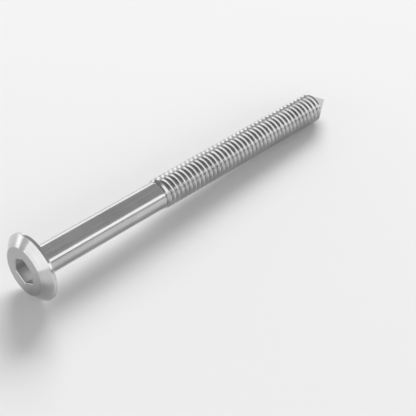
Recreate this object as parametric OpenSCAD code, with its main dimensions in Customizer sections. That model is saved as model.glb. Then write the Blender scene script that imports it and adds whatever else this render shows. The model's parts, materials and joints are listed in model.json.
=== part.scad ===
// Furniture connector bolt: a bevelled flat head with a hexagon socket, a conical neck,
// a plain shank and a rolled thread that ends in a pilot point. All sizes are in millimetres.
// The bolt lies as it comes to rest, on the head's rim and on the last crest of its thread.

/* [Head] */
// Diameter of the head at its rim
head_d = 17; // [15:0.5:22]
// Diameter of the flat face round the socket
face_d = 12.2; // [10:0.1:13.5]
// Height of the bevel between the face and the rim
bevel_h = 2.1; // [1.2:0.1:3]
// Height of the straight rim
rim_h = 0.7; // [0.5:0.1:1.2]
// Break on the edges of the face and the rim
edge_break = 0.15; // [0.05:0.05:0.2]

/* [Socket] */
// Width across the flats of the hexagon socket
socket_af = 6; // [4:0.25:6.25]
// Depth of the socket's flats below the face
socket_depth = 3.5; // [2.2:0.1:3.8]
// Width of the chamfer along the edges of the socket's mouth
mouth_chamfer = 0.15; // [0.05:0.05:0.3]
// Flat land between the socket's flats and the cone at its bottom
floor_land = 0.3; // [0.1:0.1:0.8]
// Full angle of the cone at the socket's bottom
floor_angle = 120; // [100:5:150]

/* [Shank] */
// Length from the head's bearing face to the end of the point
bolt_length = 100; // [75:1:160]
// Length from the bearing face to the start of the thread
grip_length = 37; // [10:1:60]
// Diameter of the plain shank, which is the blank that the thread is rolled on
shank_d = 7.15; // [6.6:0.05:7.6]
// Diameter of the conical neck where it meets the bearing face
neck_d = 10.3; // [8.5:0.1:12]
// Height of the conical neck
neck_h = 1.8; // [1:0.1:3]

/* [Thread] */
// Diameter over the crests of the thread
thread_d = 7.94; // [7.7:0.01:8.5]
// Distance from crest to crest
pitch = 1.411; // [1:0.001:1.6]
// Turns over which the thread fades into the shank
fade_turns = 1.5; // [0.5:0.25:3]

/* [Point] */
// Length of the point beyond the thread
point_h = 5.3; // [3:0.1:8]
// Radius of the point's rounded end
point_r = 0.4; // [0.2:0.1:0.8]

/* [Hidden] */
$fn = 96;

// Heights along the bolt's own axis, from the face at 0 to the end of the point
head_h = bevel_h + rim_h;
total_h = head_h + bolt_length;
thread_start = head_h + grip_length;
thread_end = total_h - point_h;

// Thread form with 60 degree flanks
flank_angle = 30;
crest_flat = pitch / 8;
depth_ratio = 0.6134;
thread_depth = depth_ratio * pitch;
crest_r = thread_d / 2;
root_r = crest_r - thread_depth;
blank_r = shank_d / 2;
last_crest = thread_end - (crest_r - blank_r) * tan(flank_angle) - crest_flat / 2;
ridge_count = round((last_crest - thread_start) / pitch + 0.5);
point_steps = 6;

// How far a cut runs past the face that it opens
overrun = 1;

// Turn of the round form about its axis. It changes no shape, only where the facets of a mesh lie,
// and with this turn the lying bolt stayed still in a trial of its rest.
seam_turn = 20;

// Resting attitude: the rim and the last crest touch the floor
rim_contact = head_h - edge_break;
crest_contact = last_crest + crest_flat / 2;
rest_tilt = atan((head_d / 2 - crest_r) / (crest_contact - rim_contact));
rest_height = rim_contact * sin(rest_tilt) + head_d / 2 * cos(rest_tilt);

// Level distances from the middle of the face to both ends of the resting bolt
rest_back = (face_d / 2 - edge_break) * sin(rest_tilt);
rest_reach = (total_h - point_r) * cos(rest_tilt) + point_r;

// How far ridge number i, counted from the shank, has grown out of the blank
function growth(i) = min(1, (i + 0.5) / fade_turns);

// Outline points [radius, height] of ridge number i: root, crest and next root.
// The last falling flank ends on the blank, where the point begins.
function ridge(i) =
    let (
        grown = growth(i),
        centre = last_crest - (ridge_count - 1 - i) * pitch,
        crest = blank_r + grown * (crest_r - blank_r),
        root = blank_r - grown * (blank_r - root_r),
        next_root = i < ridge_count - 1 ? root : blank_r
    )
    [
        [root, centre - crest_flat / 2 - (crest - root) * tan(flank_angle)],
        [crest, centre - crest_flat / 2],
        [crest, centre + crest_flat / 2],
        [next_root, centre + crest_flat / 2 + (crest - next_root) * tan(flank_angle)],
    ];

// Outline of the whole thread, from the shank's end to the start of the point
function thread_outline() =
    let (first = ridge(0)[0])
    [
        [blank_r, first.y - (blank_r - first.x) * tan(flank_angle)],
        for (i = [0 : ridge_count - 1]) each ridge(i),
    ];

// Half section of the head above the bearing face, from the axis outwards
function head_outline() =
    let (
        bevel = atan2(bevel_h, (head_d - face_d) / 2),
        rim_r = head_d / 2
    )
    [
        [0, 0],
        [face_d / 2 - edge_break, 0],
        [face_d / 2 + edge_break * cos(bevel), edge_break * sin(bevel)],
        [rim_r - edge_break * cos(bevel), bevel_h - edge_break * sin(bevel)],
        [rim_r, bevel_h + edge_break],
        [rim_r, head_h - edge_break],
        [rim_r - edge_break, head_h],
    ];

// Half section of the point: a cone from the blank that runs tangent into a round end
function point_outline() =
    let (
        centre_h = point_h - point_r,
        slope = atan2(blank_r, centre_h) - asin(point_r / norm([blank_r, centre_h]))
    )
    [
        for (step = [0 : point_steps])
            let (turn = (90 - slope) * (1 - step / point_steps))
            [point_r * sin(turn), thread_end + centre_h + point_r * cos(turn)],
    ];

// The turned and rolled form, with its axis on Z and its face at 0
module bolt_body() {
    rotate_extrude()
        polygon(concat(
            head_outline(),
            [[neck_d / 2, head_h], [blank_r, head_h + neck_h]],
            thread_outline(),
            point_outline()
        ));
}

// Space between one pair of the socket's flats, wider at the mouth by the chamfer
module flat_pair() {
    flat_r = socket_af / 2;
    mouth_r = flat_r + mouth_chamfer;
    rotate([90, 0, 0])
        linear_extrude(2 * head_d, center = true)
            polygon([
                [-mouth_r, -overrun],
                [mouth_r, -overrun],
                [mouth_r, 0],
                [flat_r, mouth_chamfer],
                [flat_r, socket_depth],
                [-flat_r, socket_depth],
                [-flat_r, mouth_chamfer],
                [-mouth_r, 0],
            ]);
}

// Hexagon socket with a flat land and a conical bottom, one corner along X
module socket() {
    floor_r = socket_af / 2 - floor_land;
    intersection_for (turn = [30, 90, 150])
        rotate(turn)
            flat_pair();
    translate([0, 0, socket_depth - floor_land])
        cylinder(r = floor_r, h = floor_land);
    translate([0, 0, socket_depth])
        cylinder(r1 = floor_r, r2 = 0, h = floor_r / tan(floor_angle / 2));
}

module connector_bolt() {
    color("silver")
        translate([(rest_reach - rest_back) / 2, 0, rest_height])
            rotate([0, -90 - rest_tilt, 0])
                difference() {
                    rotate(seam_turn)
                        bolt_body();
                    socket();
                }
}

connector_bolt();
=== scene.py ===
"""Furniture connector bolt lying on a pale floor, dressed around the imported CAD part."""
import json
from math import asin, atan2, cos, pi, radians, sin, sqrt, tan

import bpy
from mathutils import Matrix, Vector


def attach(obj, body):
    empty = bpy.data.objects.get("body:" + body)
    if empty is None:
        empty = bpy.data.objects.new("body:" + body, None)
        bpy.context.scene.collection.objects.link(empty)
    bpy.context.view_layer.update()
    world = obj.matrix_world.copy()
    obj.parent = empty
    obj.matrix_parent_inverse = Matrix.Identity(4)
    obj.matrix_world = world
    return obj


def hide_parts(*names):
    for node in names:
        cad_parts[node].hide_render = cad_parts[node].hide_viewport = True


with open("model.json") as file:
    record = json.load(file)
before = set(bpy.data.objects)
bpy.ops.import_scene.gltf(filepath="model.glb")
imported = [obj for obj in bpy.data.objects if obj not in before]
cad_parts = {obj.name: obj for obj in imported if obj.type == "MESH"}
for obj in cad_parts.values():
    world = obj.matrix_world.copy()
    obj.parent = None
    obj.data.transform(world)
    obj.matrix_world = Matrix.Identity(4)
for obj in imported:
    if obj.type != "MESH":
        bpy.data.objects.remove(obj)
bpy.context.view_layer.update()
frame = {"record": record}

MM = 0.001

# Sizes of the bolt in millimetres, the same as the part's own. Heights run along the bolt's axis,
# from its face to the end of its point.
HEAD_R = 8.5
FACE_R = 6.1
BEVEL_H = 2.1
HEAD_H = 2.8
EDGE = 0.15
SOCKET_AF = 6.0
SOCKET_DEPTH = 3.5
MOUTH_CHAMFER = 0.15
BOTTOM_R = 2.7
BOTTOM_ANGLE = 120
BOTTOM_CONE = BOTTOM_R / tan(radians(BOTTOM_ANGLE / 2))
NECK_R = 5.15
NECK_H = 1.8
BLANK_R = 3.575
CREST_R = 3.97
PITCH = 1.411
DEPTH_RATIO = 0.6134
DEPTH = DEPTH_RATIO * PITCH
ROOT_R = CREST_R - DEPTH
FLANK_ANGLE = 30
FLANK = tan(radians(FLANK_ANGLE))
CREST_FLAT = PITCH / 8
FADE_TURNS = 1.5
FADE = FADE_TURNS * PITCH
TOTAL = 102.8
POINT_H = 5.3
POINT_R = 0.4
THREAD_END = TOTAL - POINT_H
LAST_CREST = THREAD_END - (CREST_R - BLANK_R) * FLANK - CREST_FLAT / 2

# The helix starts 0.1 mm past the part's own thread start
THREAD_START = 39.9

# Fine forms that the solid leaves out: how far each round-off reaches from its corner, and how
# steeply the last groove runs out towards the point
SOCKET_FOOT = 0.05
NECK_ROUND = 0.12
SHANK_ROUND = 0.5
ROOT_ROUND = 0.12
CREST_ROUND = 0.086
RUN_OUT = 0.47

# Fineness of the mesh: points around the axis, steps in each round-off and in the point's end,
# rings of the socket's bottom as shares of its radius, and the angle that makes an edge sharp
AROUND = 120
TURNS = [2 * pi * i / AROUND for i in range(AROUND)]
EDGE_STEPS = 4
THREAD_STEPS = 3
POINT_STEPS = 6
BOTTOM_SHARES = (0.15, 0.6, 1)
SHARP_DEGREES = 24

# Turns of the helix laid out past each end of the thread, where they shrink onto the end's ring
SPARE_TURNS = 3

# Greys of the plated steel: its streaks; the crests and the rim's edge, rubbed and lighter with a
# painted highlight;
# the roots, darker with painted shade; the face, darker with a painted dark reflection; and the
# inside of the socket, lighter with painted light
PLATING_DARK, PLATING_LIGHT = 0.51, 0.63
RUBBED_HIGHLIGHT_GREY = 0.72
ROOT_SHADE_GREY = 0.4
FACE_REFLECTION_GREY = 0.42
SOCKET_LIGHT_GREY = 0.72
COOL_CAST = 1.008

# Roughness from the clouds and from the lines, and what each part of the surface adds to it
CLOUD_ROUGHNESS = (0.1, 0.16)
LINE_ROUGHNESS = (0, 0.03)
ROOT_DULL = 0.2
FACE_DULL = 0.08
SOCKET_DULL = 0.22
RUBBED_DULL = -0.03

# Noises of the surface, each as features to the metre and detail
CLOUDS = (180, 3)
DRAWN_LINES = (2600, 2)
TURNED_LINES = (2400, 3)
GRAIN = (9000, 2)

# Scale of the drawn lines' coordinates along the axis: the smaller it is, the longer the lines
DRAWN_ALONG = 0.02

# Spans of noise over which the roughness, the wear and the streaks change. The streaks add up two
# noises.
NOISE_SPAN = (0.3, 0.7)
WEAR_SPAN = (0.35, 0.6)
STREAK_SPAN = (0.7, 1.3)

# Radii in millimetres from which crests are rubbed and lighter with a painted highlight, and below
# which roots are dull and darker with painted shade
WORN_AND_HIGHLIT_FROM = 3.8
DULL_AND_SHADED_BELOW = 3.4

# How deep the face's rougher finish and painted dark reflection reach, in millimetres, and where
# the socket's rougher finish and painted light begin and end: from a share of the mouth's chamfer
# to a little past the bottom and the corners
FACE_SKIN = 0.05
MOUTH_SHARE = 0.9
SOCKET_SLACK = 1.01

BUMP_STRENGTH = 0.25
BUMP_DISTANCE = 0.00002

# The studio, in metres: its floor, the greys of its room, which change over a span of the
# direction's X, and how far its soft boxes stand off
GROUND_SIZE = 12
GROUND_GREY = 0.88
GROUND_ROUGHNESS = 0.9
ROOM_BACK = 0.41
ROOM_FRONT = 0.26
ROOM_SPAN = (-0.45, 0.5)
WALL_AT = 1.5

# Soft boxes on the wall, each with its name, two azimuths, two elevations and radiance, and the
# key with its azimuth, elevation, distance, size and radiance
PANELS = (
    ("left", (-84, -50), (1, 14), 1.4),
    ("gap", (-50, -33), (1, 30), 0.45),
    ("front", (-33, 30), (1, 34), 1.14),
    ("side", (36, 104), (15, 34), 1.12),
    ("right", (104, 138), (10, 28), 1.12),
    ("far", (-138, -104), (1, 20), 1.12),
)
KEY_TURN, KEY_RISE = 215, 34
KEY_AT = 2.2
KEY_SIZE = (1.45, 0.98)
KEY_RADIANCE = 10.6

# The photograph's camera, fitted to the bolt: frame and focal length in pixels, its turn and rise
# in degrees, and the middle of the face as it sees it, right, down and ahead in millimetres
FRAME_PX = 416
FOCAL_PX = 1132.7
CAMERA_TURN = 135.139
CAMERA_RISE = 41.073
FACE_SEEN = (-41.13, 14.235, 252.776)
SENSOR_WIDTH = 36
CLIP_START = 0.01

# The bolt's axis starts in the middle of its face and runs to the point
socket = next(m for m in frame["record"]["mounts"] if m["name"] == "hex_socket")
face_at = Vector(socket["pos_m"])
along = -Vector(socket["axis"]).normalized()
across = Vector((0, 1, 0))
upward = across.cross(along)
place = Matrix((upward, across, along)).transposed().to_4x4()
place.translation = face_at


def bend(before, corner, after, setback, steps):
    """Points of a round-off between two straight lines that meet at corner."""
    before, corner, after = Vector(before), Vector(corner), Vector(after)
    a = corner + (before - corner).normalized() * setback
    b = corner + (after - corner).normalized() * setback
    ts = [i / steps for i in range(steps + 1)]
    return [tuple((1 - t) ** 2 * a + 2 * t * (1 - t) * corner + t * t * b) for t in ts]


def rounded(line, setbacks, steps):
    """A line of points with its inner corners rounded off."""
    out = [line[0]]
    for i, setback in enumerate(setbacks, 1):
        out += bend(line[i - 1], line[i], line[i + 1], setback, steps)
    return out + [line[-1]]


def hexagon(across_flats):
    """Radius of a hexagon with a corner at turn 0."""
    return lambda turn: across_flats / 2 / cos(turn % (pi / 3) - pi / 6)


class Skin:
    """Collects vertices and faces of one closed mesh, in the bolt's own frame in millimetres."""

    def __init__(self):
        self.points, self.faces = [], []

    def add(self, radius, turn, height):
        self.points.append((radius * cos(turn), radius * sin(turn), height))
        return len(self.points) - 1

    def ring(self, radius, height):
        return [self.add(radius(t) if callable(radius) else radius, t, height) for t in TURNS]

    def face(self, *ids):
        """Adds a face, without the corners that coincide where it shrinks."""
        ids = [v for i, v in enumerate(ids) if v != ids[i - 1]]
        if len(set(ids)) > 2:
            self.faces.append(ids)

    def join(self, inner, outer):
        """Faces between two rings."""
        for i in range(AROUND):
            j = (i + 1) % AROUND
            self.face(inner[i], inner[j], outer[j], outer[i])


def head_rings(skin):
    """Socket, face, bevel, rim, bearing face, neck and shank; returns the last ring."""
    tip = skin.add(0, 0, SOCKET_DEPTH + BOTTOM_CONE)
    rings = [[tip] * AROUND]
    for share in BOTTOM_SHARES:
        rings.append(skin.ring(BOTTOM_R * share, SOCKET_DEPTH + BOTTOM_CONE * (1 - share)))
    rings.append(skin.ring(hexagon(SOCKET_AF - 2 * SOCKET_FOOT), SOCKET_DEPTH))
    rings.append(skin.ring(hexagon(SOCKET_AF), SOCKET_DEPTH - SOCKET_FOOT))
    rings.append(skin.ring(hexagon(SOCKET_AF), MOUTH_CHAMFER))
    rings.append(skin.ring(hexagon(SOCKET_AF + 2 * MOUTH_CHAMFER), 0))
    # The first point only gives the direction of the face
    outline = [
        (0, 0), (FACE_R, 0), (HEAD_R, BEVEL_H), (HEAD_R, HEAD_H), (NECK_R, HEAD_H),
        (BLANK_R, HEAD_H + NECK_H), (BLANK_R, THREAD_START),
    ]
    setbacks = [EDGE, EDGE, EDGE, NECK_ROUND, SHANK_ROUND]
    for radius, height in rounded(outline, setbacks, EDGE_STEPS)[1:]:
        rings.append(skin.ring(radius, height))
    for a, b in zip(rings, rings[1:]):
        skin.join(a, b)
    return rings[-1]


def thread_profile():
    """One turn of the thread as (height from the crest, radius), with rounded crest and root."""
    foot = CREST_FLAT / 2 + DEPTH * FLANK
    line = [
        (-PITCH / 2, ROOT_R), (-foot, ROOT_R), (-CREST_FLAT / 2, CREST_R),
        (CREST_FLAT / 2, CREST_R), (foot, ROOT_R), (PITCH / 2, ROOT_R),
    ]
    setbacks = [ROOT_ROUND, CREST_ROUND, CREST_ROUND, ROOT_ROUND]
    return rounded(line, setbacks, THREAD_STEPS)[1:-1]


def limited(radius, height):
    """Radius of the thread where it grows out of the blank and where it runs out at the point."""
    grown = min(1, max(0, (height - THREAD_START) / FADE))
    radius = BLANK_R + (radius - BLANK_R) * grown * grown * (3 - 2 * grown)
    left = THREAD_END - height
    return min(max(radius, BLANK_R - RUN_OUT * left), BLANK_R + left / FLANK)


def thread_rings(skin, first):
    """The right-hand helix, welded to the shank's last ring; returns the point's first ring."""
    last = skin.ring(BLANK_R, THREAD_END)
    profile = thread_profile()
    zero = LAST_CREST - PITCH / 2
    lowest = int((THREAD_START - zero) / PITCH) - SPARE_TURNS
    # Each row follows one point of the profile along the helix for one turn
    rows = []
    for k in range(lowest, SPARE_TURNS):
        for rise, radius in profile:
            row = []
            for i in range(AROUND):
                height = zero + (k + i / AROUND) * PITCH + rise
                if height <= THREAD_START:
                    row.append(first[i])
                elif height >= THREAD_END:
                    row.append(last[i])
                else:
                    row.append(skin.add(limited(radius, height), TURNS[i], height))
            rows.append(row)
    # The end of a row meets the start of the row that lies one turn further on
    step = len(profile)
    for q in range(len(rows) - 1):
        for i in range(AROUND - 1):
            skin.face(rows[q][i], rows[q][i + 1], rows[q + 1][i + 1], rows[q + 1][i])
        if q + step + 1 < len(rows):
            skin.face(rows[q][-1], rows[q + step][0], rows[q + step + 1][0], rows[q + 1][-1])
    return last


def point_rings(skin, first):
    """Cone and rounded end of the point."""
    centre = POINT_H - POINT_R
    slope = atan2(BLANK_R, centre) - asin(POINT_R / sqrt(BLANK_R ** 2 + centre ** 2))
    before = first
    for step in range(POINT_STEPS):
        turn = (pi / 2 - slope) * (1 - step / POINT_STEPS)
        ring = skin.ring(POINT_R * sin(turn), THREAD_END + centre + POINT_R * cos(turn))
        skin.join(before, ring)
        before = ring
    skin.join(before, [skin.add(0, 0, TOTAL)] * AROUND)


def make_bolt():
    """The whole bolt as one mesh object, placed in the shared frame."""
    skin = Skin()
    point_rings(skin, thread_rings(skin, head_rings(skin)))
    used = sorted({v for f in skin.faces for v in f})
    number = {v: i for i, v in enumerate(used)}
    points = [place @ (Vector(skin.points[v]) * MM) for v in used]
    mesh = bpy.data.meshes.new("bolt")
    mesh.from_pydata(points, [], [[number[v] for v in f] for f in skin.faces])
    mesh.validate()
    mesh.shade_smooth()
    mesh.set_sharp_from_angle(angle=radians(SHARP_DEGREES))
    bolt = bpy.data.objects.new("bolt", mesh)
    bpy.context.scene.collection.objects.link(bolt)
    even = bolt.modifiers.new("even", "WEIGHTED_NORMAL")
    even.keep_sharp = True
    return bolt


class Shade:
    """A material's node tree, with short ways to add what it needs."""

    def __init__(self, name):
        self.material = bpy.data.materials.new(name)
        self.material.use_nodes = True
        self.tree = self.material.node_tree
        self.shader = self.tree.nodes["Principled BSDF"]

    def add(self, kind, **settings):
        node = self.tree.nodes.new("ShaderNode" + kind)
        for name, value in settings.items():
            setattr(node, name, value)
        return node

    def put(self, value, entry):
        """Sets an input, or links it where the value is another node's output."""
        if isinstance(value, bpy.types.NodeSocket):
            self.tree.links.new(value, entry)
        else:
            entry.default_value = value

    def math(self, operation, *values):
        node = self.add("Math", operation=operation)
        for value, entry in zip(values, node.inputs):
            self.put(value, entry)
        return node.outputs["Value"]

    def noise(self, where, scale, detail):
        node = self.add("TexNoise")
        self.put(where, node.inputs["Vector"])
        self.put(scale, node.inputs["Scale"])
        self.put(detail, node.inputs["Detail"])
        return node.outputs["Fac"]

    def ramp(self, value, start, end, low=0.0, high=1.0):
        """Takes a value from one span to another, held at both ends."""
        node = self.add("MapRange")
        for entry, given in zip(node.inputs, (value, start, end, low, high)):
            self.put(given, entry)
        return node.outputs["Result"]

    def blend(self, factor, low, high):
        """Mixes two numbers."""
        node = self.add("Mix")
        for name, value in (("Factor", factor), ("A", low), ("B", high)):
            self.put(value, node.inputs[name])
        return node.outputs["Result"]

    def tint(self, factor, low, high):
        """Mixes two colours."""
        node = self.add("Mix", data_type="RGBA")
        self.put(factor, node.inputs["Factor"])
        for name, value in (("A", low), ("B", high)):
            self.put(value, next(e for e in node.inputs if e.name == name and e.type == "RGBA"))
        return next(e for e in node.outputs if e.type == "RGBA")


def grey(value):
    """A grey with the faint cool cast of plated steel."""
    return (value, value, value * COOL_CAST, 1)


def plated_steel():
    """Bright plated steel: a cloudy gloss, lines drawn along the shank or turned on the head, and a
    fine grain. Crests and the rim's edge are rubbed brighter, partly wear and partly a painted
    highlight. The thread roots are darker with painted shade, the face darker with a painted dark
    reflection and the socket lighter with painted light; all three are also rougher."""
    shade = Shade("plated_steel")
    shade.put(1, shade.shader.inputs["Metallic"])
    own = place.inverted()
    turned = shade.add("Mapping")
    shade.put(shade.add("TexCoord").outputs["Object"], turned.inputs["Vector"])
    shade.put(own.translation, turned.inputs["Location"])
    shade.put(own.to_euler(), turned.inputs["Rotation"])
    local = turned.outputs["Vector"]
    split = shade.add("SeparateXYZ")
    shade.put(local, split.inputs["Vector"])
    depth = split.outputs["Z"]
    reach = shade.math("SQRT", shade.math(
        "ADD",
        shade.math("MULTIPLY", split.outputs["X"], split.outputs["X"]),
        shade.math("MULTIPLY", split.outputs["Y"], split.outputs["Y"]),
    ))
    drawn = shade.add("Mapping")
    shade.put(local, drawn.inputs["Vector"])
    shade.put((1, 1, DRAWN_ALONG), drawn.inputs["Scale"])
    clouds = shade.noise(local, *CLOUDS)
    rings = shade.add("CombineXYZ")
    shade.put(reach, rings.inputs["X"])
    shade.put(depth, rings.inputs["Y"])
    lines = shade.blend(
        shade.math("LESS_THAN", depth, (HEAD_H + EDGE) * MM),
        shade.noise(drawn.outputs["Vector"], *DRAWN_LINES),
        shade.noise(rings.outputs["Vector"], *TURNED_LINES),
    )
    grain = shade.noise(local, *GRAIN)

    # Where each part of the surface lies
    mouth = MOUTH_CHAMFER * MOUTH_SHARE * MM
    bottom = (SOCKET_DEPTH + BOTTOM_CONE) * SOCKET_SLACK * MM
    # Inside the socket: painted light, lighter than the plating, and a rougher finish
    in_socket = shade.math(
        "MULTIPLY",
        shade.math("COMPARE", depth, (mouth + bottom) / 2, (bottom - mouth) / 2),
        shade.math("LESS_THAN", reach, SOCKET_AF / sqrt(3) * SOCKET_SLACK * MM),
    )
    # The face: a painted dark reflection, darker than the plating, and a rougher finish
    on_face = shade.math("LESS_THAN", depth, FACE_SKIN * MM)
    on_thread = shade.math(
        "COMPARE", depth,
        (THREAD_START + THREAD_END) / 2 * MM, (THREAD_END - THREAD_START) / 2 * MM,
    )
    # Outer crests of the thread, rubbed and lighter: partly wear, partly a painted highlight
    crest = shade.math("MULTIPLY", on_thread, shade.ramp(reach, WORN_AND_HIGHLIT_FROM * MM, CREST_R * MM))
    # The edge between bevel and rim, rubbed and lighter: partly wear, partly a painted highlight
    rim = shade.math(
        "MULTIPLY",
        shade.ramp(reach, (HEAD_R - EDGE) * MM, HEAD_R * MM),
        shade.math("COMPARE", depth, BEVEL_H * MM, EDGE * MM),
    )
    # Where crests and the rim's edge are lighter, in patches: partly wear, partly a painted
    # highlight
    wear_and_highlight = shade.math(
        "MULTIPLY", shade.math("MAXIMUM", crest, rim), shade.ramp(clouds, *WEAR_SPAN),
    )
    # The thread's roots: painted shade, darker in the grooves, and a rougher finish
    root = shade.math("MULTIPLY", on_thread, shade.ramp(reach, DULL_AND_SHADED_BELOW * MM, ROOT_R * MM))

    streaks = shade.ramp(shade.math("ADD", clouds, lines), *STREAK_SPAN)
    colour = shade.tint(streaks, grey(PLATING_DARK), grey(PLATING_LIGHT))
    # Lighter crests and rim's edge: partly wear, partly a painted highlight
    colour = shade.tint(wear_and_highlight, colour, grey(RUBBED_HIGHLIGHT_GREY))
    # Darker roots: painted shade in the thread's grooves
    colour = shade.tint(root, colour, grey(ROOT_SHADE_GREY))
    # Darker face: a painted dark reflection
    colour = shade.tint(on_face, colour, grey(FACE_REFLECTION_GREY))
    # Lighter socket: painted light inside the recess
    colour = shade.tint(in_socket, colour, grey(SOCKET_LIGHT_GREY))
    shade.put(colour, shade.shader.inputs["Base Color"])

    roughness = shade.math(
        "ADD",
        shade.ramp(clouds, *NOISE_SPAN, *CLOUD_ROUGHNESS),
        shade.ramp(lines, *NOISE_SPAN, *LINE_ROUGHNESS),
    )
    dulled = (
        (root, ROOT_DULL), (on_face, FACE_DULL), (in_socket, SOCKET_DULL), (wear_and_highlight, RUBBED_DULL),
    )
    for where, step in dulled:
        roughness = shade.math("MULTIPLY_ADD", where, step, roughness)
    shade.put(roughness, shade.shader.inputs["Roughness"])

    bump = shade.add("Bump")
    shade.put(BUMP_STRENGTH, bump.inputs["Strength"])
    shade.put(BUMP_DISTANCE, bump.inputs["Distance"])
    shade.put(shade.math("ADD", grain, lines), bump.inputs["Height"])
    shade.put(bump.outputs["Normal"], shade.shader.inputs["Normal"])
    return shade.material


def pale_floor():
    """The studio's matt floor."""
    shade = Shade("floor")
    shade.put((GROUND_GREY, GROUND_GREY, GROUND_GREY, 1), shade.shader.inputs["Base Color"])
    shade.put(GROUND_ROUGHNESS, shade.shader.inputs["Roughness"])
    shade.put(0, shade.shader.inputs["Specular IOR Level"])
    bpy.ops.mesh.primitive_plane_add(size=GROUND_SIZE)
    floor = bpy.context.object
    floor.name = "floor"
    floor.data.materials.append(shade.material)


def heading(turn, rise):
    """The direction at an azimuth and an elevation in degrees."""
    turn, rise = radians(turn), radians(rise)
    return Vector((cos(turn) * cos(rise), sin(turn) * cos(rise), sin(rise)))


def lamp(name, way, distance, size, radiance):
    """A rectangular soft box that faces the origin from the direction way."""
    width, height = size
    data = bpy.data.lights.new(name, "AREA")
    data.shape = "RECTANGLE"
    data.size, data.size_y = width, height
    data.energy = radiance * pi * width * height
    box = bpy.data.objects.new(name, data)
    box.location = way * distance
    box.rotation_euler = way.to_track_quat("Z", "Y").to_euler()
    box.visible_camera = False
    bpy.context.scene.collection.objects.link(box)
    return box


def panel(name, turns, rises, radiance):
    """A soft box on the studio's wall, between two azimuths and two elevations in degrees."""
    spans = [2 * WALL_AT * tan(radians(high - low) / 2) for low, high in (turns, rises)]
    lamp(name, heading(sum(turns) / 2, sum(rises) / 2), WALL_AT, spans, radiance)


def sky():
    """The studio's room, lighter behind the point than before the head."""
    world = bpy.data.worlds.new("studio")
    world.use_nodes = True
    bpy.context.scene.world = world
    nodes, links = world.node_tree.nodes, world.node_tree.links
    where = nodes.new("ShaderNodeTexCoord")
    split = nodes.new("ShaderNodeSeparateXYZ")
    shift = nodes.new("ShaderNodeMapRange")
    limits = zip(("From Min", "From Max", "To Min", "To Max"), (*ROOM_SPAN, ROOM_BACK, ROOM_FRONT))
    for name, value in limits:
        shift.inputs[name].default_value = value
    links.new(where.outputs["Generated"], split.inputs["Vector"])
    links.new(split.outputs["X"], shift.inputs["Value"])
    links.new(shift.outputs["Result"], nodes["Background"].inputs["Color"])


def camera():
    """The photograph's camera, placed from the middle of the bolt's face."""
    turn, rise = radians(CAMERA_TURN), radians(CAMERA_RISE)
    right = Vector((cos(turn), sin(turn), 0))
    ahead = Vector((-sin(turn) * cos(rise), cos(turn) * cos(rise), -sin(rise)))
    top = right.cross(ahead)
    seen = Vector(FACE_SEEN) * MM
    data = bpy.data.cameras.new("camera")
    data.sensor_width = SENSOR_WIDTH
    data.lens = FOCAL_PX * SENSOR_WIDTH / FRAME_PX
    data.clip_start = CLIP_START
    cam = bpy.data.objects.new("camera", data)
    pose = Matrix((right, top, -ahead)).transposed().to_4x4()
    pose.translation = face_at - right * seen.x + top * seen.y - ahead * seen.z
    cam.matrix_world = pose
    bpy.context.scene.collection.objects.link(cam)
    bpy.context.scene.camera = cam


camera()
bolt = make_bolt()
bolt.data.materials.append(plated_steel())
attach(bolt, "root")
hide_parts("connector_bolt")
pale_floor()
sky()
for values in PANELS:
    panel(*values)
# The key lights the floor; its mirror image on the metal would burn out to white spots
key = lamp("key", heading(KEY_TURN, KEY_RISE), KEY_AT, KEY_SIZE, KEY_RADIANCE)
key.visible_glossy = False
bpy.context.scene.view_settings.view_transform = "Standard"
